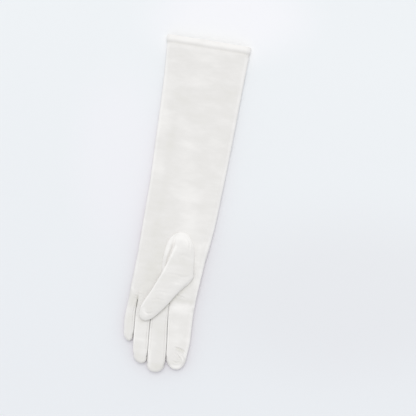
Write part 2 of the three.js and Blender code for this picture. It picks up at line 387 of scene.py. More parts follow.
def hem_groove(reach):
    """How far the hem's stitches pull the cloth in, near the mouth."""
    return GROOVE["depth"] * bell((reach - HEM_REACH) / GROOVE["width"])


def palm_height(x, reach):
    """The upper cloth of the sleeve and palm, before it divides into fingers."""
    middle, half = middle_and_half(SLEEVE_ROWS, reach)
    share = np.clip((x - middle) / half, -1, 1)
    height = crown(share, half, SLEEVE_ROLL, SLEEVE_EDGE, curve_through(SLEEVE_ROWS, "top", reach))
    ridge = RIDGE["rise"] * bell((reach - HEM_REACH - RIDGE["behind"]) / RIDGE["width"])
    slack = np.sqrt(np.clip(1 - share**4, 0, 1)) * smooth_step(*HEM_HOLDS, reach)
    return height + ridge - hem_groove(reach) + slack * pressed(x, reach)


def finger_crown(x, reach):
    """The crowns of the four fingers at a place near their roots."""
    height = np.full(np.shape(x), BETWEEN_FINGERS)
    for finger in FINGERS:
        middle, half = middle_and_half(finger["rows"], reach)
        share = (x - middle) / half
        rounded = crown(share, half, FINGER_ROLL, FINGER_EDGE, FINGER_TOP)
        height = np.maximum(height, np.where(np.abs(share) < 1, rounded, 0))
    return height


def hand_height(x, reach):
    """The upper cloth anywhere over the palm and the finger roots: the thumb rests on this."""
    divide = smooth_step(*CROWNS_DIVIDE, reach)
    return (1 - divide) * palm_height(x, reach) + divide * finger_crown(x, reach)


print("crown over the palm", round(float(palm_height(np.array(0.0), np.array(290.0))), 2), "mm")

# %% [markdown]
# ## The trank and the fourchettes
# A flat grid is the pattern cloth: one unit to a cell, columns across the hand and rows along it. The
# cells between the fingers are cut out of it, which leaves a comb. Extruding the comb downwards gives the
# lower cloth and a wall all round it, and the wall is subdivided so that it can be rolled. Only then is
# each vertex put in its real place, worked out from its column, row and level. A cage that is built flat
# first has even quads everywhere, which is what lets the subdivision give smooth cloth.

# %% The pattern's columns and rows
LEVELS = 5
TIP_ROWS = 6
FINGER_ROWS = 26
FIRST_REACHES = [8.8, 9.9, 10.9, 12.1, 13.6, 15.8, 19.0]
SLEEVE_STEP = 4.0
NARROW_CELL = 0.9
SEAM_INSET = 3.0

sleeve_count = round((CROTCH - FIRST_REACHES[-1]) / SLEEVE_STEP)
ROW_REACH = np.concatenate([FIRST_REACHES[:-1], np.linspace(FIRST_REACHES[-1], CROTCH, sleeve_count + 1)])
CROTCH_ROW = len(ROW_REACH) - 1
LAST_ROW = CROTCH_ROW + FINGER_ROWS
TIP_START_ROW = LAST_ROW - TIP_ROWS

# a row for each column: its finger (-1 in a gap), its share of the way across the finger, and its even share
pattern_columns = []
for number, finger in enumerate(FINGERS):
    root = finger["rows"][1]
    edge = NARROW_CELL / (root["right"] - root["left"] - 2 * SEAM_INSET)
    shares = [0.0, *np.linspace(edge, 1 - edge, finger["cells"] - 1), 1.0]
    pattern_columns += zip([number] * len(shares), shares, np.linspace(0, 1, len(shares)))
    if number < len(FINGERS) - 1:
        pattern_columns.append((-1, 0.5, 0.5))
column_finger, column_share, column_even = np.array(pattern_columns).T
column_finger = column_finger.astype(int)
gap_columns = np.flatnonzero(column_finger < 0)
LAST_COLUMN = len(column_finger) - 1
print("pattern:", LAST_COLUMN, "columns and", LAST_ROW, "rows")


# %% The comb, its lower layer and its wall
HALF_LEVEL = 0.5


def face_middles(piece):
    return np.array([corners.mean(axis=0) for corners in face_corners(piece)])


def upright_edges(piece):
    """Says of each edge whether it runs up and down. One level of a pattern is one unit high."""
    heights = vertex_places(piece)[:, 2]
    return [np.ptp(heights[list(edge.vertices)]) > HALF_LEVEL for edge in piece.data.edges]


def pattern_grid(name, columns, rows):
    deselect_all()
    bpy.ops.mesh.primitive_grid_add(x_subdivisions=columns, y_subdivisions=rows, size=1)
    piece = named(bpy.context.object, name)
    edit_all(piece)
    bpy.ops.transform.resize(value=(columns, rows, 1))
    bpy.ops.transform.translate(value=(columns / 2, rows / 2, 0))
    leave_edit()
    return piece


trank = pattern_grid("trank", LAST_COLUMN, LAST_ROW)
middles = face_middles(trank)
in_gap = (np.abs(middles[:, :1] - gap_columns).min(axis=1) < 1) & (middles[:, 1] > CROTCH_ROW)
select_only(trank, "FACE", in_gap)
bpy.ops.mesh.delete(type="FACE")
bpy.ops.mesh.select_all(action="SELECT")
bpy.ops.mesh.extrude_region_move(TRANSFORM_OT_translate={"value": (0, 0, -LEVELS)})
leave_edit()
select_only(trank, "EDGE", upright_edges(trank))
bpy.ops.mesh.subdivide(number_cuts=LEVELS - 1)
bpy.ops.mesh.select_all(action="SELECT")
bpy.ops.mesh.normals_make_consistent(inside=False)
leave_edit()
levels_found = sorted({round(float(z), 2) for z in vertex_places(trank)[:, 2]})
print("levels:", levels_found, "faces:", len(trank.data.polygons))

# %% [markdown]
# The fourchettes are the parts of the wall that face another finger, from the crotch to a little short of
# the fingertips. They are separated while everything is still flat, because there each face's place says
# exactly which strip it belongs to. The short wall across the mouth is deleted, which opens the sleeve.

# %% Separating the strips
FOURCHETTE_END_ROW = TIP_START_ROW + 3
NEARLY = 0.01


def separate_selected(name):
    before = set(bpy.data.objects)
    bpy.ops.mesh.separate(type="SELECTED")
    leave_edit()
    (part,) = set(bpy.data.objects) - before
    return named(part, name)


def strip_faces(piece, gap_column):
    """Says of each face whether it is upright and beside one gap or across its crotch."""
    chosen = []
    for corners in face_corners(piece):
        upright = np.ptp(corners[:, 2]) >= HALF_LEVEL
        beside = np.abs(corners[:, 0] - gap_column).max() <= 1 + NEARLY
        first, last = corners[:, 1].min(), corners[:, 1].max()
        in_reach = first >= CROTCH_ROW - NEARLY and last <= FOURCHETTE_END_ROW + NEARLY
        chosen.append(upright and beside and in_reach)
    return chosen


mouth_wall = [np.ptp(c[:, 2]) > HALF_LEVEL and c[:, 1].max() < NEARLY for c in face_corners(trank)]
select_only(trank, "FACE", mouth_wall)
bpy.ops.mesh.delete(type="FACE")
leave_edit()
fourchettes = []
for gap_column, finger, neighbour in zip(gap_columns, FINGERS[1:], FINGERS):
    select_only(trank, "FACE", strip_faces(trank, gap_column))
    fourchettes.append(separate_selected(f"fourchette_{finger['name']}_{neighbour['name']}_strip"))
print([(strip.name, len(strip.data.polygons)) for strip in fourchettes], len(trank.data.polygons))

# %% [markdown]
# ## From the pattern to the hand
# Each level of the wall has its own inset from the outline and its own height. At level 0 the upper cloth
# ends, 3 mm inside the outline on a finger, which is where the seam of the fourchette shows. Level 3 is
# the widest place, and level 5 is where the lower cloth begins. At a fingertip the square end of the
# pattern is bent onto a half disc, so that its quads stay even.

# %% The wall, level by level
WALL_INSET_FINGER = np.array([3.0, 0.8, 0.12, 0.0, 0.9, 3.0])
WALL_INSET_SLEEVE = np.array([4.2, 2.2, 0.7, 0.0, 1.25, 4.2])
LOWER_SHARE = np.array([1.0, 1.0, 1.0, 1.0, 0.29, 0.0])
BORDERS = np.array([1, 0, 0, 0, 0, 1])
GROOVE_SIDEWAYS = np.array([0.2, 0.45, 0.65, 0.7, 0.5, 0.2])
GROOVE_UPWARD = np.array([0.0, 0.0, 0.0, 0.0, 0.7, 1.0])
CROTCH_BULGE = np.array([0.0, 0.5, 1.2, 1.6, 1.2, 0.0])
FACING_EDGE = 8.0
FACING_DROP = np.array([0.0, 0.1, 0.55])
FACING_LOW = {3: 6.0, 4: 1.0}
FADE_ROWS = 4
SEAM_SINK = 0.3
SINK_AT_CROTCH = 0.3
SEAM_TUCK = 0.35
END_TUCK = 0.7
END_TUCK_ROWS = 2
POINT_ROWS = 8
POINT_SHARE = 0.08
LOWER_POINT_SHARE = 0.35
print("the wall of a finger reaches", WALL_INSET_FINGER[0], "mm in from its outline")


# %% A place on one finger
TIP_LEAN = 1.5
DISC_EDGE = 0.999


def half_disc(across, along):
    """Bends a square, -1 to 1 across and 0 to 1 along, onto a half disc."""
    return across * np.sqrt(1 - along**2 / 2), along * np.sqrt(1 - across**2 / 2)


def point_taper(number, share, row, level):
    """How much of its inset a wall keeps: a strip is cut to a point at its crotch and at both its ends."""
    root = smooth_step(CROTCH_ROW, CROTCH_ROW + POINT_ROWS, row)
    end = smooth_step(FOURCHETTE_END_ROW, FOURCHETTE_END_ROW - POINT_ROWS, row)
    end = np.maximum(end, smooth_step(FOURCHETTE_END_ROW, LAST_ROW, row))
    least = np.where(level < LEVELS / 2, POINT_SHARE, LOWER_POINT_SHARE)
    taper = least + (1 - least) * np.minimum(root, end)
    inward = (number > 0) * (1 - share) + (number < len(FINGERS) - 1) * share
    return 1 - (1 - taper) * inward


def finger_place(number, share, row, level, tuck):
    """x and reach on one finger, how far out that is (1 on the outline), and half the finger's width."""
    finger = FINGERS[number]
    last = finger["rows"][-1]["reach"]
    straight = np.clip((row - CROTCH_ROW) / (TIP_START_ROW - CROTCH_ROW), 0, 1)
    reach = CROTCH + (last - CROTCH) * straight
    middle, half = middle_and_half(finger["rows"], reach)
    seen_inset = (WALL_INSET_FINGER + tuck * BORDERS)[level] * point_taper(number, share, row, level)
    end_tuck = END_TUCK * smooth_step(FOURCHETTE_END_ROW - END_TUCK_ROWS, FOURCHETTE_END_ROW, row)
    inset = seen_inset + end_tuck * (tuck > 0)
    across, along = half_disc(2 * share - 1, np.clip((row - TIP_START_ROW) / TIP_ROWS, 0, 1))
    inside = np.clip(along, 0, DISC_EDGE)
    blunt = np.sqrt((1 - inside ** finger["blunt"]) / (1 - inside**2))
    x = middle + (finger["tip_x"] - middle) * along**TIP_LEAN + (half - inset) * across * blunt
    reach = reach + (finger["tip_reach"] - last - inset) * along
    return x, reach, np.hypot(across, along) * (half - seen_inset) / half, half


# %% Places across and along the whole hand
COLUMNS_PART = 286.0
SPREAD_ROWS = (TIP_START_ROW - 2, TIP_START_ROW + 4)
GAP_OUT = 0.97
GAP_HALF = 9.0


def palm_reach(row):
    return ROW_REACH[np.minimum(row, CROTCH_ROW)]


def parting(row):
    """How far the columns have left their even places for their places on the fingers, 0 to 1."""
    return smooth_step(COLUMNS_PART, CROTCH, palm_reach(row))


def finger_plan(column, row, level, tuck):
    """What finger_place gives, for every vertex as if it were on its finger."""
    # the columns crowd at the seams, but spread out evenly at the fingertips
    spread = smooth_step(*SPREAD_ROWS, row)
    share = column_share[column] + (column_even[column] - column_share[column]) * spread
    x, reach, out = np.zeros((3, len(column)))
    half = np.full(len(column), GAP_HALF)
    for number in range(len(FINGERS)):
        mine = column_finger[column] == number
        place = finger_place(number, share[mine], row[mine], level[mine], tuck)
        x[mine], reach[mine], out[mine], half[mine] = place
    for gap in gap_columns:
        mine = column == gap
        below = finger_place(column_finger[gap - 1], 1.0, row[mine], level[mine], tuck)
        above = finger_place(column_finger[gap + 1], 0.0, row[mine], level[mine], tuck)
        x[mine] = (below[0] + above[0]) / 2
        out[mine] = GAP_OUT
    return x, reach, out, half


def hand_plan(column, row, level, tuck):
    """x and reach of every vertex, how far out it is on its finger and half that finger's width."""
    palm = palm_reach(row)
    part = parting(row)
    middle, half = middle_and_half(SLEEVE_ROWS, palm)
    tucked = tuck * BORDERS[level]
    inset = (1 - part) * WALL_INSET_SLEEVE[level] + part * (WALL_INSET_FINGER[level] + tucked)
    inset = inset + hem_groove(palm) * GROOVE_SIDEWAYS[level]
    x_palm = middle + (half - inset) * (2 * column / LAST_COLUMN - 1)
    x_finger, finger_reach, out, half_finger = finger_plan(column, row, level, tuck)
    x = np.where(row > CROTCH_ROW, x_finger, (1 - part) * x_palm + part * x_finger)
    reach = np.where(row > CROTCH_ROW, finger_reach, palm)
    at_crotch = (row == CROTCH_ROW) & (np.abs(column[:, None] - gap_columns).min(axis=1) <= 1)
    reach = reach + np.where(at_crotch, CROTCH_BULGE[level] - tucked, 0)
    return x, reach, out, half_finger


# %% Heights, and the vertices put in their places
FINGER_SLACK = 0.6
DIP = 1.0
DIP_FROM = 330.0


def upper_height(x, reach, out, half_finger, column, row, beside):
    """The upper cloth: the palm's crown, divided into the fingers' crowns."""
    # where a finger faces its neighbour the two are pressed together, so that side rolls down much less
    number = column_finger[column]
    inward = np.where(column_share[column] < 0.5, number > 0, number < len(FINGERS) - 1) | (number < 0)
    edge = FINGER_EDGE + (FACING_EDGE - FINGER_EDGE) * beside * inward
    on_finger = crown(out, half_finger, FINGER_ROLL, edge, FINGER_TOP)
    on_finger = on_finger + FINGER_SLACK * pressed(x, reach) * np.clip(1 - out**4, 0, 1)
    divide = np.where(row > CROTCH_ROW, 1.0, smooth_step(*CROWNS_DIVIDE, palm_reach(row)))
    upper = (1 - divide) * palm_height(x, palm_reach(row)) + divide * on_finger
    return upper - DIP * np.isin(column, gap_columns) * smooth_step(DIP_FROM, CROTCH, palm_reach(row))


def hand_places(pattern, tuck=0.0):
    """Where each vertex of the flat pattern goes. A strip's borders are tucked that far under the trank's."""
    column, row, level = np.rint(pattern * (1, 1, -1)).astype(int).T
    x, reach, out, half_finger = hand_plan(column, row, level, tuck)
    beside = 1 - smooth_step(FOURCHETTE_END_ROW - FADE_ROWS, FOURCHETTE_END_ROW, row)
    upper = upper_height(x, reach, out, half_finger, column, row, beside)
    rooted = smooth_step(CROTCH_ROW, CROTCH_ROW + POINT_ROWS, row)
    sink = SEAM_SINK * (SINK_AT_CROTCH + (1 - SINK_AT_CROTCH) * rooted)
    upper = upper - sink * (level == 0) * (tuck > 0)
    edge = SLEEVE_EDGE + (FINGER_EDGE - SLEEVE_EDGE) * parting(row)
    lower = edge * LOWER_SHARE[level] + tuck * BORDERS[level] / 2
    lower = lower + hem_groove(palm_reach(row)) * GROOVE_UPWARD[level]
    height = np.where(level <= 2, upper, lower)
    # the wall between two pressed fingers stands up straight and rolls over only near its top
    facing = np.isin(column + 1, gap_columns) | np.isin(column - 1, gap_columns)
    facing &= (row > CROTCH_ROW) & (column_finger[column] >= 0) & (row < LAST_ROW)
    standing = np.where(level <= 2, upper - FACING_DROP[np.minimum(level, 2)], height)
    for low_level, low_height in FACING_LOW.items():
        standing = np.where(level == low_level, low_height, standing)
    height = np.where(facing, height + (standing - height) * beside, height)
    return np.column_stack([x, reach, height])


def to_frame(places):
    """From x, reach and height in millimetres to the frame's metres."""
    return np.column_stack([places[:, 0], GLOVE_LENGTH / 2 - places[:, 1], places[:, 2]]) * MM


# reach runs against Y, so the pattern is mirrored on its way to the frame, and its faces are turned back out
for piece in [trank, *fourchettes]:
    tuck = SEAM_TUCK if piece in fourchettes else 0.0
    put_vertices(piece, to_frame(hand_places(vertex_places(piece), tuck)))
    edit_all(piece)
    bpy.ops.mesh.flip_normals()
    leave_edit()
print("trank spans", np.ptp(vertex_places(trank), axis=0).round(4))

# %% [markdown]
# ## The thumb
# The thumb is a tube of cloth. Its open end is sewn to the oval hole in the palm, and the tube then folds
# over and lies flat across the palm, so each ring of it leans: its top has run further than its
# underside. Four paths carry the rings, one along the top, one along each side and one underneath, and a
# rounded oval is drawn through the four points of every ring. Near the oval the left path doubles back,
# which makes the small tuck of cloth that shows there. It starts as a cylinder whose long edges are
# subdivided.

# %% The four paths of the thumb
# each row is a station, the same one in all four tables
THUMB_TOP = table(
    "x reach height",
    (8.3, 253, 10.4), (8.4, 253.7, 12), (8.5, 256.4, 13.9), (8.8, 262.5, 15.3),
    (9, 272, 16.2), (8.6, 284, 17), (7.6, 296, 17.5), (5.6, 308, 17.8),
    (1.8, 319.5, 17.8), (-4, 331, 17.6), (-10, 342, 17.3), (-15.4, 352, 16.9),
    (-19.8, 361, 16.2), (-22.4, 368, 15.2), (-23.4, 372, 13.6), (-23.6, 373.8, 12.2),
)
THUMB_LEFT = table(
    "x reach height",
    (-13.2, 284, 10.2), (-13.5, 281.5, 12.3), (-7.6, 274.2, 14.3), (-2.8, 270.6, 12),
    (-0.6, 274.4, 14.1), (-4.3, 287, 14.2), (-8.3, 298.2, 13.9), (-12.3, 308.2, 13.7),
    (-16.7, 319.6, 13.4), (-21.4, 330.8, 13.2), (-26.4, 341.2, 13), (-30.8, 350.6, 12.7),
    (-33.2, 359.5, 12.5), (-33, 367, 12.4), (-29.6, 371.8, 12.3), (-23.6, 373.8, 12.2),
)
THUMB_RIGHT = table(
    "x reach height",
    (26.4, 289.5, 10.2), (26.7, 290, 11.4), (27, 291.5, 12.3), (27.4, 294, 12.8),
    (27.9, 297.5, 13.1), (28.2, 300, 13.3), (28.7, 304.5, 13.3), (29, 308.6, 13.2),
    (24.4, 314.4, 13.1), (16.2, 325.4, 13), (8.6, 336.8, 12.8), (1.8, 347.8, 12.6),
    (-5.3, 357.2, 12.4), (-11.6, 364.9, 12.3), (-17.2, 370.2, 12.2), (-23.6, 373.8, 12.2),
)
THUMB_BELOW = table(
    "x reach height",
    (4, 317, 10.4), (3.6, 318, 11.1), (3, 319.5, 11.2), (2.4, 321, 11.3),
    (1.6, 322.5, 11.2), (0.8, 324, 11.1), (0, 326, 11), (-1, 329, 10.9),
    (-3.5, 333, 10.8), (-7, 339, 10.6), (-11, 345.5, 10.4), (-15.2, 352.5, 10.2),
    (-19.2, 360.5, 10.2), (-21.8, 367.5, 10.5), (-23.2, 372.2, 11.2), (-23.6, 373.8, 12.2),
)
print(len(THUMB_TOP), "stations along the thumb")


# %% Drawing the thumb round its paths
THUMB_AROUND = 64
THUMB_RINGS = 60
THUMB_CLEARANCE = 0.45
LEFT_POWER = 2.25
RIGHT_POWER = 1.9
UNDER_POWER = 3.2
SQUARER_STATIONS = (3.0, 7.0)
LOOSE_STATIONS = (0.5, 3.0)
SEWN_STATION = 0.4
SEWN_HEIGHTS = (-0.35, 0.1)
OVER_FINGERS = {"beyond": 340, "height": 9.3}
THUMB_WAVES = table("rise size seed", (0.5, 24, 5.7), (0.2, 9, 1.9))


def path_points(path, station):
    rows = [{"station": i, **row} for i, row in enumerate(path)]
    columns = [curve_through(rows, name, station, "station") for name in ("x", "reach", "height")]
    return np.column_stack(columns)


def thumb_places(pattern):
    """Where each vertex of the plain tube goes: its angle says where on the ring, its height which ring."""
    angle = np.arctan2(pattern[:, 1], pattern[:, 0])
    station = np.rint(pattern[:, 2] + THUMB_RINGS / 2) / THUMB_RINGS * (len(THUMB_TOP) - 1)
    left, right = path_points(THUMB_LEFT, station), path_points(THUMB_RIGHT, station)
    top, below = path_points(THUMB_TOP, station), path_points(THUMB_BELOW, station)
    middle = (left + right) / 2
    right_power = RIGHT_POWER + (LEFT_POWER - RIGHT_POWER) * smooth_step(*SQUARER_STATIONS, station)
    upper_power = np.where(np.cos(angle) > 0, right_power, LEFT_POWER)
    power = np.where(np.sin(angle) > 0, upper_power, UNDER_POWER)
    side = np.sign(np.cos(angle)) * np.abs(np.cos(angle)) ** (2 / np.minimum(power, LEFT_POWER))
    lift = np.abs(np.sin(angle)) ** (2 / power)
    upward = np.where((np.sin(angle) > 0)[:, None], top - middle, below - middle)
    x, reach, height = (middle + (right - middle) * side[:, None] + upward * lift[:, None]).T
    # the sewn end dips under the palm's cloth, and the rest stays clear of what it lies on
    over_fingers = np.where(reach > OVER_FINGERS["beyond"], OVER_FINGERS["height"], 0)
    ground = np.maximum(hand_height(x, reach), over_fingers)
    sewn = ground + np.interp(station, [0, SEWN_STATION], SEWN_HEIGHTS)
    loose = smooth_step(*LOOSE_STATIONS, station) * np.clip(np.sin(angle), 0, 1)
    wave = waves(x, reach, THUMB_WAVES) * loose
    clear = np.maximum(height + wave, ground + THUMB_CLEARANCE * np.minimum(station, 1))
    return np.column_stack([x, reach, np.where(station < SEWN_STATION, sewn + wave, clear)])


deselect_all()
bpy.ops.mesh.primitive_cylinder_add(
    vertices=THUMB_AROUND, radius=10, depth=THUMB_RINGS, end_fill_type="NOTHING"
)
thumb = named(bpy.context.object, "thumb")
select_only(thumb, "EDGE", upright_edges(thumb))
bpy.ops.mesh.subdivide(number_cuts=THUMB_RINGS - 1)
leave_edit()
put_vertices(thumb, to_frame(thumb_places(vertex_places(thumb))))
edit_all(thumb)
bpy.ops.mesh.remove_doubles(threshold=0.02 * MM)
leave_edit()
print("thumb spans", np.ptp(vertex_places(thumb), axis=0).round(4), len(thumb.data.polygons))

# %% [markdown]
# ## The hem
# At the mouth the cloth is turned in and stitched down, which makes a puffy band about 10 mm wide. A
# torus has the right number of sides: its large ring becomes the way round the mouth, and its small ring
# becomes the band's section, thick at the rim and thin at the stitches.

# %% The way round the mouth
HEM_INSET = 0.1
LOWER_CORNER = 4.2
TOP_POINTS = 360
CORNER_POINTS = 20
TANGENT_STEP = 0.8
STITCH_PITCH = 3.2


def mouth_loop(reach, inset):
    """A closed loop round the sleeve's outside at one reach, from its right edge over the top and back."""
    middle, half = (float(value) for value in middle_and_half(SLEEVE_ROWS, reach))
    top = float(curve_through(SLEEVE_ROWS, "top", reach)) - inset
    across = np.cos(np.linspace(0, np.pi, TOP_POINTS))
    heights = crown(across, half, SLEEVE_ROLL, SLEEVE_EDGE, top)
    upper = np.column_stack([middle + (half - inset) * across, heights])
    turn = np.linspace(0, np.pi / 2, CORNER_POINTS)[1:]
    down_x = -half + inset + (LOWER_CORNER - inset) * (1 - np.cos(turn))
    down = np.column_stack([down_x, SLEEVE_EDGE - (SLEEVE_EDGE - inset) * np.sin(turn)])
    return np.vstack([upper, down + [middle, 0], down[::-1] * [-1, 1] + [middle, 0]])


def along_loop(loop, share):
    """Points and outward directions at shares of the way round a closed loop, and the loop's length."""
    closed = np.vstack([loop, loop[:1]])
    run = np.concatenate([[0], np.cumsum(np.linalg.norm(np.diff(closed, axis=0), axis=1))])
    at = np.mod(share, 1) * run[-1]

    def point_at(distance):
        distance = np.mod(distance, run[-1])
        return np.column_stack([np.interp(distance, run, closed[:, k]) for k in (0, 1)])

    tangent = point_at(at + TANGENT_STEP) - point_at(at - TANGENT_STEP)
    tangent /= np.linalg.norm(tangent, axis=1)[:, None]
    return point_at(at), np.column_stack([tangent[:, 1], -tangent[:, 0]]), run[-1]


mouth_length = along_loop(mouth_loop(HEM_REACH, HEM_INSET), np.zeros(1))[2]
STITCH_COUNT = round(mouth_length / STITCH_PITCH)
print(STITCH_COUNT, "stitches round the mouth")


# %% The hem's band
HEM_AROUND = 216
HEM_SECTION = 18
HEM_OUTSIDE = 0.65
HEM_INSIDE = 1.5
HEM_SQUARE = 0.5
HEM_SPREAD = 0.9
HEM_END = HEM_REACH + 0.3
HEM_FALL = (HEM_END - 3.8, HEM_END)
HEM_SINK = 0.7
HEM_THINNING = 0.75
HEM_WAVES = table("rise size seed", (1.0, 13, 2.2))
WAVE_RISE = 0.4
WAVE_RISE_STITCHED = 0.12
WAVE_CALMS = (5.5, 9.0)
RIM_WAVES = table("rise size seed", (0.5, 27, 4.4))
PUCKER = 0.11
PUCKER_GROWS = (5.0, 8.5)
FLOOR_GAP = 0.02
NEARLY_SAME = 1e-3


def hem_places(pattern):
    """Where each vertex of the torus goes: one angle is its place round the mouth, the other on the band."""
    around = np.mod(np.arctan2(pattern[:, 1], pattern[:, 0]) / (2 * np.pi), 1)
    # small is 0 on the outside of the band, and pi on the inside
    small = np.arctan2(pattern[:, 2], np.hypot(pattern[:, 0], pattern[:, 1]) - 1)
    along = 0.5 - 0.5 * np.sin(small)
    reach = HEM_END * along**HEM_SPREAD
    falling = smooth_step(*HEM_FALL, reach)
    thick = np.where(np.cos(small) > 0, HEM_OUTSIDE, -HEM_INSIDE) * np.abs(np.cos(small)) ** HEM_SQUARE
    pucker = PUCKER * np.cos(2 * np.pi * around * STITCH_COUNT) * smooth_step(*PUCKER_GROWS, reach)
    offset = thick * (1 - HEM_THINNING * falling) - HEM_SINK * falling + pucker
    rise = WAVE_RISE + (WAVE_RISE_STITCHED - WAVE_RISE) * smooth_step(*WAVE_CALMS, reach)
    places = np.zeros((len(pattern), 3))
    for ring in np.unique(np.round(reach, 4)):
        mine = np.abs(reach - ring) < NEARLY_SAME
        point, outward, length = along_loop(mouth_loop(ring, HEM_INSET), around[mine])
        run = around[mine] * length
        out = offset[mine] + rise[mine] * waves(run, reach[mine], HEM_WAVES)
        uneven = waves(run, np.zeros(len(run)), RIM_WAVES) * (1 - along[mine])
        x, height = (point + outward * out[:, None]).T
        places[mine] = np.column_stack([x, reach[mine] + uneven, np.maximum(height, FLOOR_GAP)])
    return places


def apply_modifier(piece, name, kind, **settings):
    make_active(piece)
    modifier = piece.modifiers.new(name, kind)
    for key, value in settings.items():
        setattr(modifier, key, value)
    bpy.ops.object.modifier_apply(modifier=name)


def round_off(piece):
    """Divides each face once, which rounds the facets off, and shades the piece smooth."""
    apply_modifier(piece, "round", "SUBSURF", levels=1, render_levels=1)
    bpy.ops.object.shade_smooth()
    piece.data.calc_loop_triangles()
    print(piece.name, "has", len(piece.data.loop_triangles), "triangles")


deselect_all()
bpy.ops.mesh.primitive_torus_add(
    major_segments=HEM_AROUND, minor_segments=HEM_SECTION, major_radius=1, minor_radius=0.25
)
hem = named(bpy.context.object, "hem_band")
put_vertices(hem, to_frame(hem_places(vertex_places(hem))))
edit_all(hem)
bpy.ops.mesh.normals_make_consistent(inside=False)
leave_edit()
round_off(hem)
print("hem spans", np.ptp(vertex_places(hem), axis=0).round(4))

# %% [markdown]
# ## The hem's stitches
# A row of small straight stitches holds the turned edge down. They lie sunk in the groove, all round the
# mouth. One stitch is a coarse ball drawn out to a grain, and the others are copies of it, each turned to
# lie along the groove.

# %% One stitch and its copies
STITCH_LENGTH = 1.9
STITCH_THICK = 0.42
STITCH_REACH = HEM_REACH + 0.55
STITCH_LIFT = 0.06
SIDE_SHALLOWER = 0.3

deselect_all()
bpy.ops.mesh.primitive_uv_sphere_add(segments=6, ring_count=6, radius=0.5 * MM, location=(0, 0, 0))
first_stitch = bpy.context.object
edit_all(first_stitch)
bpy.ops.transform.resize(value=(STITCH_THICK, STITCH_THICK, STITCH_LENGTH), center_override=(0, 0, 0))
leave_edit()
bpy.ops.object.shade_smooth()
stitch_depth = float(hem_groove(STITCH_REACH)) - STITCH_LIFT
shares = (np.arange(STITCH_COUNT) + 0.5) / STITCH_COUNT
points, outwards, _ = along_loop(mouth_loop(STITCH_REACH, 0.0), shares)
all_stitches = []
for point, outward in zip(points, outwards):
    make_active(first_stitch)
    bpy.ops.object.duplicate(linked=False)
    stitch = bpy.context.object
    x, height = point - outward * stitch_depth * (1 - SIDE_SHALLOWER * abs(outward[0]))
    stitch.location = Vector(to_frame(np.array([[x, STITCH_REACH, height]]))[0])
    stitch.rotation_euler = (0, math.atan2(-outward[1], outward[0]), 0)
    all_stitches.append(stitch)
make_active(first_stitch)
bpy.ops.object.delete()
for stitch in all_stitches:
    stitch.select_set(True)
bpy.context.view_layer.objects.active = all_stitches[0]
bpy.ops.object.join()
bpy.ops.object.transform_apply(location=True, rotation=True, scale=True)
stitches = named(bpy.context.object, "hem_stitches")
print(len(all_stitches), "stitches with", len(stitches.data.polygons), "faces")

# %% [markdown]
# ## Fine wrinkles
# Narrow creases need smaller quads than the rest, so the cloth is divided once more in the three places
# that are wrinkled: the roots of the index and little fingers, and the index fingertip. The hole that the
# thumb is sewn to is cut out of the palm here as well, a little smaller than the thumb's end, so that its
# ragged edge stays out of sight inside the seam. Then every shell gets its thickness, inwards, and the
# fine strokes are pressed into both its sides together.

# %% The wrinkled places and the thumb's hole
THUMB_OVAL = {"x": 8.0, "reach": 284.0, "half_across": 13.0, "half_along": 23.0}
WRINKLED = table("left right near far", (4, 39, 326, 359), (10, 38, 398, 428), (-49, -30, 331, 353))
UPPER_SKIN = 6.0


def from_frame(places):
    """x, reach and height in millimetres, each as one array, for places in the frame's metres."""
    return places[:, 0] / MM, GLOVE_LENGTH / 2 - places[:, 1] / MM, places[:, 2] / MM


x, reach, height = from_frame(face_middles(trank))
across = (x - THUMB_OVAL["x"]) / THUMB_OVAL["half_across"]
along = (reach - THUMB_OVAL["reach"]) / THUMB_OVAL["half_along"]
select_only(trank, "FACE", (height > UPPER_SKIN) & (np.hypot(across, along) < 1))
bpy.ops.mesh.delete(type="FACE")
leave_edit()
x, reach, height = from_frame(face_middles(trank))
chosen = np.zeros(len(x), dtype=bool)
for place in WRINKLED:
    chosen |= (x > place["left"]) & (x < place["right"]) & (reach > place["near"]) & (reach < place["far"])
select_only(trank, "FACE", chosen & (height > UPPER_SKIN))
bpy.ops.mesh.subdivide(number_cuts=1)
leave_edit()
print("trank has", len(trank.data.polygons), "faces after cutting the hole and dividing the wrinkled places")


# %% The cloth's thickness, then the fine strokes
TRANK_WALL = 1.0
THUMB_WALL = 0.5
UPPER_TRANK = (4.5, 6.5)
UPPER_THUMB = (12.0, 13.6)


def press_fine(piece, strokes, low, high):
    """Presses fine strokes into the upper cloth, from nothing at the height low to all of it at high."""
    places = vertex_places(piece)
    x, reach, height = from_frame(places)
    depth = sum(stroke_depth(x, reach, stroke) for stroke in strokes)
    places[:, 2] += MM * smooth_step(low, high, height) * depth
    put_vertices(piece, places)


pieces_and_walls = [(piece, TRANK_WALL) for piece in [trank, *fourchettes]] + [(thumb, THUMB_WALL)]
for piece, wall in pieces_and_walls:
    apply_modifier(piece, "cloth", "SOLIDIFY", thickness=wall * MM, offset=-1.0, use_even_offset=False)
    round_off(piece)
for piece in [trank, *fourchettes]:
    press_fine(piece, FINE_STROKES, *UPPER_TRANK)
press_fine(thumb, THUMB_STROKES, *UPPER_THUMB)
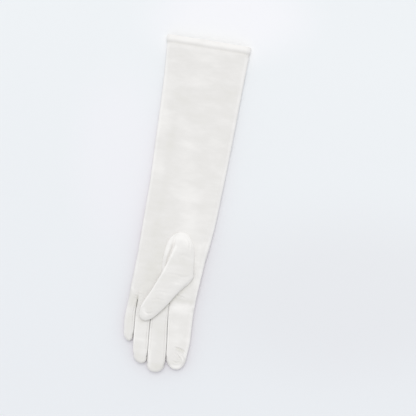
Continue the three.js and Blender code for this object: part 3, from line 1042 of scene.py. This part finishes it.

# %% [markdown]
# ## Material
# Faux suede is a brushed cloth: dead matt, with a short nap that catches light at grazing angles. Its colour
# holds painted light: painted highlights on folds, puffs, edges and tips, and painted shade in creases, in
# the hem's groove and where the thumb shades the palm, together with the nap's own paler stroked-up and
# darker, yellower pressed-down tone. All of that is stored on the cloth as one number for each vertex, drawn
# with a few broad marks. The material mixes near whites by it, adds slow clouds, and gives the fibres as a
# fine bump with a little sheen.

# %% Painted light marks: painted highlights (above 0) and painted shade (below 0), with some of the nap's tone
THUMB_MARKS = table(
    "path width tone",
    # painted highlights (above 0) on the dome, the lobe, the left edge, a puff and the tip; painted shade
    # (below 0) in the tuck and on two broad patches
    ([(-4, 262), (5, 256), (13, 259)], 8.0, 1.0),
    ([(-9, 268), (-11, 284)], 3.5, 0.6),
    ([(0.6, 272), (-11, 308), (-23.5, 337), (-32, 356)], 1.3, 0.9),
    ([(-4.5, 273), (-8.5, 288)], 1.1, -0.5),
    ([(10, 318), (21, 313)], 5.0, 0.4),
    ([(12, 284), (18, 302)], 9.0, -0.35),
    ([(-12, 346), (-20, 356)], 8.0, -0.3),
    ([(-28, 360), (-24, 366)], 3.2, 0.7),
)
TRANK_MARKS = table(
    "path width tone",
    # painted highlights (above 0) on the puff at the index finger's root and on its tip, painted shade (below
    # 0) in the crescent crease at its tip
    ([(12, 351), (25, 354)], 7.0, 0.7),
    ([(17, 429), (29, 427)], 3.0, 1.0),
    ([(29, 410), (33, 418)], 1.2, 0.7),
    ([(23, 404), (31, 406)], 1.8, -0.9),
    # painted highlights where the left side of each finger catches the light, and so do the tips; below them
    # painted shade in the ring and little fingers' crotch, the hem's groove and the index root's crease, a
    # painted highlight on the hem's ridge, and broad paler and darker patches
    ([(5.5, 358), (9.5, 395), (12, 424)], 1.6, 0.6),
    ([(-12.5, 412), (-9.5, 433)], 2.0, 0.7),
    ([(0, 433), (6, 430)], 3.0, -0.3),
    ([(-36, 372), (-34.5, 400), (-31, 425)], 1.8, 0.7),
    ([(-49.8, 348), (-50.2, 380), (-47.5, 399)], 1.6, 0.55),
    ([(-15.6, 384), (-13.6, 412)], 1.4, 0.6),
    ([(31, 266), (33.5, 314)], 3.5, 0.2),
    ([(-33, 399), (-24, 399)], 3.0, 0.4),
    ([(-30, 421), (-20, 424)], 4.0, -0.4),
    ([(-19, 280), (-23, 300), (-28, 326)], 12.0, -0.65),
    ([(16, 372), (20, 394)], 8.0, 0.3),
    ([(-39, 345), (-38.4, 357)], 1.7, -1.0),
    ([(-60, 9.7), (60, 9.7)], 1.8, -0.25),
    ([(-60, 14.5), (60, 14.5)], 2.2, 0.2),
    ([(14, 341), (33, 341)], 3.2, -0.6),
    ([(-44, 372), (-43, 396)], 6.0, -0.35),
    ([(-2, 380), (0, 430)], 8.0, -0.3),
    ([(-52.6, 14), (-49, 60), (-45.8, 190), (-46.8, 300), (-47.8, 335)], 1.8, 0.9),
    ([(-45, 70), (-43, 110), (-42, 170)], 7.0, 0.28),
    ([(-28, 105), (-27, 200), (-30, 262)], 5.0, -0.25),
    ([(-4, 150), (0, 185), (14, 245)], 12.0, 0.3),
    # painted highlights where the right side of the sleeve, the palm and the index finger catch the light
    ([(52.5, 16), (51, 60), (48, 192), (45.5, 240), (38.6, 287), (37.6, 320)], 2.6, 0.9),
    ([(37.4, 324), (35.6, 346)], 2.6, 0.9),
    ([(35.2, 356), (36.2, 380), (36.6, 398), (35.4, 412)], 2.4, 0.9),
    # painted shadow where the thumb lies on the cloth, and painted shade at the roots of the little and index
    # fingers
    ([(28, 314), (14, 333), (-1, 354), (-8, 361.5), (-18, 370), (-29, 375)], 2.2, -0.8),
    ([(-44, 347), (-44, 361)], 4.0, -0.5),
    ([(34, 336), (33, 344)], 4.0, -0.5),
)
HEM_MARKS = table(
    "path width tone",
    # painted highlight on the band, and painted shade in the stitched groove
    ([(-60, 3.3), (60, 3.3)], 5.0, 1.1),
    ([(-60, 9.7), (60, 9.7)], 1.6, -0.3),
)
PAINTED_LIGHT_AND_NAP_HEIGHTS = (2.0, 4.5)


def store_painted_light_and_nap(piece, marks):
    x, reach, height = from_frame(vertex_places(piece))
    # painted highlights and painted shade, with the nap's own tone, one number for each vertex
    nap = sum(mark["tone"] * bell(near_path(x, reach, mark["path"])[0] / mark["width"]) for mark in marks)
    nap = np.clip(nap, -1, 1) * smooth_step(*PAINTED_LIGHT_AND_NAP_HEIGHTS, height)
    layer = piece.data.attributes.new("nap", "FLOAT", "POINT")
    layer.data.foreach_set("value", nap.astype(np.float32))
    print(piece.name, "nap from", round(float(nap.min()), 2), "to", round(float(nap.max()), 2))


cloth_marks = [(trank, TRANK_MARKS), (thumb, THUMB_MARKS), (hem, HEM_MARKS)]
for piece, marks in cloth_marks + [(strip, TRANK_MARKS) for strip in fourchettes]:
    store_painted_light_and_nap(piece, marks)


# %% Helpers for materials
def set_or_link(tree, socket, value):
    """Gives a socket a number, a colour or another node's output."""
    if isinstance(value, bpy.types.NodeSocket):
        tree.links.new(value, socket)
    else:
        socket.default_value = value


def add_node(tree, kind, **values):
    """A new node. Names with a capital are its inputs, and the others are its own settings."""
    node = tree.nodes.new("ShaderNode" + kind)
    for name, value in values.items():
        if name[0].isupper():
            set_or_link(tree, node.inputs[name.replace("_", " ")], value)
        else:
            setattr(node, name, value)
    return node


def add_maths(tree, operation, *values):
    node = add_node(tree, "Math", operation=operation)
    for socket, value in zip(node.inputs, values):
        set_or_link(tree, socket, value)
    return node.outputs["Value"]


def add_ramp(tree, share, *colours):
    """Runs through the colours, evenly spaced, as share goes from 0 to 1."""
    ramp = add_node(tree, "ValToRGB", Fac=share)
    stops = ramp.color_ramp.elements
    for place in np.linspace(0, 1, len(colours))[1:-1]:
        stops.new(float(place))
    for stop, colour in zip(stops, colours):
        stop.color = (*colour, 1)
    return ramp.outputs["Color"]


def add_noise(tree, place, **values):
    return add_node(tree, "TexNoise", Vector=place, **values).outputs["Fac"]


def add_bump(tree, height, strength, distance):
    return add_node(tree, "Bump", Height=height, Strength=strength, Distance=distance).outputs["Normal"]


def new_material(name, **finish):
    """A material with these constant values on its shader, its node tree, and the shader's inputs."""
    material = bpy.data.materials.new(name)
    material.use_nodes = True
    inputs = material.node_tree.nodes["Principled BSDF"].inputs
    for socket, value in finish.items():
        inputs[socket.replace("_", " ")].default_value = value
    return material, material.node_tree, inputs


# %% Suede and thread
# painted shade with the pressed nap's darker tone, the plain suede, and painted highlight with the stroked
# nap's paler tone
PAINTED_SHADE_AND_PRESSED_NAP = (0.765, 0.7495, 0.71)
PLAIN = (0.83, 0.8125, 0.7925)
PAINTED_LIGHT_AND_STROKED_NAP = (0.94, 0.922, 0.902)
CLOUD_STRETCH = (26.0, 60.0, 42.0)
PAINTED_LIGHT_AND_NAP_SHARE = 0.5
FIBRE_SCALE = 1400.0
THREAD = (0.80, 0.785, 0.76)
THREAD_SHADE = 0.9
PLY_SCALE = 900.0


def suede_material(name):
    material, tree, shader = new_material(
        name, Roughness=0.95, Specular_IOR_Level=0.15, Sheen_Weight=0.2, Sheen_Roughness=0.5
    )
    place = add_node(tree, "TexCoord").outputs["Object"]
    stretched = add_node(tree, "Mapping", Vector=place, Scale=CLOUD_STRETCH).outputs["Vector"]
    clouds = add_noise(tree, stretched, Scale=1.0, Detail=4.0, Roughness=0.62)
    # the painted highlights and shade and the nap's own tone, mixed with the slow clouds
    nap = add_node(tree, "Attribute", attribute_name="nap").outputs["Fac"]
    tone = add_maths(tree, "MULTIPLY_ADD", nap, PAINTED_LIGHT_AND_NAP_SHARE, clouds)
    set_or_link(tree, shader["Base Color"], add_ramp(tree, tone, PAINTED_SHADE_AND_PRESSED_NAP, PLAIN, PAINTED_LIGHT_AND_STROKED_NAP))
    fibres = add_noise(tree, place, Scale=FIBRE_SCALE, Detail=3.0, Roughness=0.7)
    set_or_link(tree, shader["Normal"], add_bump(tree, fibres, 0.35, 0.0004))
    return material


def thread_material(name):
    material, tree, shader = new_material(name, Roughness=0.7, Specular_IOR_Level=0.3)
    place = add_node(tree, "TexCoord").outputs["Object"]
    plies = add_noise(tree, place, Scale=PLY_SCALE, Detail=2.0)
    shaded = tuple(THREAD_SHADE * share for share in THREAD)
    set_or_link(tree, shader["Base Color"], add_ramp(tree, plies, shaded, THREAD))
    set_or_link(tree, shader["Normal"], add_bump(tree, plies, 0.4, 0.0001))
    return material


suede = suede_material("faux_suede")
for piece in [trank, thumb, hem, *fourchettes]:
    piece.data.materials.clear()
    piece.data.materials.append(suede)
    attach(piece, "root")
stitches.data.materials.clear()
stitches.data.materials.append(thread_material("sewing_thread"))
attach(stitches, "root")
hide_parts("trank_palm", "trank_back")
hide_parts("thumb_upper", "thumb_under")
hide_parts("hem")
for strip in fourchettes:
    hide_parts(strip.name.removesuffix("_strip"))
print("materials:", ", ".join(material.name for material in bpy.data.materials))

# %% [markdown]
# ## The floor
# The glove lies on a large sheet of pale paper, a plain plane that only sets the stage. Its colour runs
# from a cool white at the mouth to a greyer one at the fingertips, with three broad patches: a painted pool
# of light in front of the mouth, painted shade to the right of the glove and a paler, warmer patch to its
# left. Close to the glove a faint painted violet shade is mixed in, found from how far the glove covers the
# paper from the light. All of that is mixed from places on the paper, so it stays where it is when the
# camera moves.

# %% The paper's finish
CAMERA_TURN = math.radians(9.2)
FINGER_PAPER = (0.830, 0.848, 0.878, 1)
MOUTH_PAPER = (0.872, 0.895, 0.915, 1)
PAPER_ENDS = (-0.24, 0.24)
PAPER_PATCHES = table(
    "centre half_size tint",
    # a painted pool of light in front of the mouth
    ((0.023, 0.257), (0.15, 0.08), (1.068, 1.038, 1.047, 1)),
    # painted shade to the right of the glove
    ((0.23, -0.085), (0.3, 0.16), (0.963, 0.952, 0.953, 1)),
    # a paler, warmer patch left of the glove
    ((-0.09, 0.046), (0.09, 0.17), (1.028, 1.008, 1.018, 1)),
)
PATCH_FADE = 0.75
COVER_DISTANCE = 0.09
RIM_PAPER = (1.0, 1.0, 1.0, 1)
RIM_COVER = 0.8
# the colour of the painted shade close to the glove
PAINTED_VIOLET_SHADE = (0.88, 0.82, 0.835, 1)
PAINTED_SHADE_POWER = 0.5
PAINTED_SHADE_ENDS = (0.22, -0.05)
FLOOR_SIZE = 6
FLOOR_HEIGHT = -0.0002


def add_mix(tree, blend, share, first, second):
    mix = add_node(tree, "Mix", data_type="RGBA", blend_type=blend, Factor=share, A=first, B=second)
    return mix.outputs["Result"]


def add_range(tree, value, low, high, kind="LINEAR"):
    """Runs from 0 where the value is low to 1 where it is high."""
    node = add_node(tree, "MapRange", interpolation_type=kind, Value=value, From_Min=low, From_Max=high)
    return node.outputs["Result"]


def add_patch(tree, place, patch):
    """A soft oval on the paper: 1 in its middle, fading to 0 at its edge."""
    oval = add_node(tree, "Mapping", vector_type="TEXTURE", Vector=place, Rotation=(0, 0, CAMERA_TURN))
    oval.inputs["Location"].default_value = (*patch["centre"], 0)
    oval.inputs["Scale"].default_value = (*patch["half_size"], 1)
    ball = add_node(tree, "TexGradient", gradient_type="SPHERICAL", Vector=oval.outputs["Vector"])
    return add_range(tree, ball.outputs["Fac"], 0.0, PATCH_FADE, "SMOOTHSTEP")


def paper_material(name):
    material, tree, shader = new_material(name, Roughness=0.9)
    place = add_node(tree, "TexCoord").outputs["Object"]
    along = add_node(tree, "SeparateXYZ", Vector=place).outputs["Y"]
    uncovered = add_node(tree, "AmbientOcclusion", Distance=COVER_DISTANCE).outputs["AO"]
    colour = add_mix(tree, "MIX", add_range(tree, along, *PAPER_ENDS), FINGER_PAPER, MOUTH_PAPER)
    shares = [add_patch(tree, place, patch) for patch in PAPER_PATCHES]
    for patch, share in zip(PAPER_PATCHES, shares):
        colour = add_mix(tree, "MULTIPLY", share, colour, patch["tint"])
    # in front of the mouth the paper is whiter, to make up for the shade that the band's rim casts there
    rim = add_maths(tree, "MULTIPLY", shares[0], add_range(tree, uncovered, 1.0, RIM_COVER))
    colour = add_mix(tree, "MIX", rim, colour, RIM_PAPER)
    # painted shade: violet where the glove covers the paper from the light, fading out towards the mouth
    close = add_maths(tree, "POWER", add_range(tree, uncovered, 1.0, 0.0), PAINTED_SHADE_POWER)
    painted_shade = add_maths(tree, "MULTIPLY", close, add_range(tree, along, *PAINTED_SHADE_ENDS))
    set_or_link(tree, shader["Base Color"], add_mix(tree, "MULTIPLY", painted_shade, colour, PAINTED_VIOLET_SHADE))
    return material


deselect_all()
bpy.ops.mesh.primitive_plane_add(size=FLOOR_SIZE, location=(0, 0, FLOOR_HEIGHT))
floor = named(bpy.context.object, "floor")
floor.data.materials.append(paper_material("pale_paper"))
print("floor with", len(PAPER_PATCHES), "patches")

# %% [markdown]
# ## Light and camera
# The light is a bright, even room with one very soft window beyond the mouth, so shadows are faint and
# fall towards the fingertips. The camera looks straight down, turned a little, with a long lens that
# keeps the sides parallel.

# %% The room's light
ROOM_COLOUR = (0.97, 0.985, 1.0, 1)
ROOM_STRENGTH = 0.74
WINDOW_PLACE = (-0.25, 1.0, 2.1)
WINDOW_SPREAD = math.radians(38)
WINDOW_STRENGTH = 0.95
WINDOW_COLOUR = (1.0, 0.995, 0.98)

scene = bpy.context.scene
scene.view_settings.view_transform = "Standard"
scene.world = bpy.data.worlds.new("studio")
scene.world.use_nodes = True
room = scene.world.node_tree.nodes["Background"].inputs
room["Color"].default_value = ROOM_COLOUR
room["Strength"].default_value = ROOM_STRENGTH

lamp = bpy.data.lights.new("window", "SUN")
lamp.angle = WINDOW_SPREAD
lamp.energy = WINDOW_STRENGTH
lamp.color = WINDOW_COLOUR
window = bpy.data.objects.new("window", lamp)
window.location = WINDOW_PLACE
window.rotation_euler = (-window.location).to_track_quat("-Z", "Y").to_euler()
scene.collection.objects.link(window)
slant = math.degrees(window.location.angle(Vector((0, 0, 1))))
print("the light falls", round(slant), "degrees off upright")

# %% The camera
CAMERA_OVER = (0.0333, 0.0047)
CAMERA_HEIGHT = 1.29
LENS_MM = 85
SENSOR_MM = 36
SEES_AS_FAR_AS = 20

lens = bpy.data.cameras.new("camera")
lens.lens = LENS_MM
lens.sensor_width = SENSOR_MM
lens.clip_end = SEES_AS_FAR_AS
camera = bpy.data.objects.new("camera", lens)
camera.location = (*CAMERA_OVER, CAMERA_HEIGHT)
camera.rotation_euler = (0, 0, CAMERA_TURN)
scene.collection.objects.link(camera)
scene.camera = camera
print("camera", CAMERA_HEIGHT, "m above the floor")
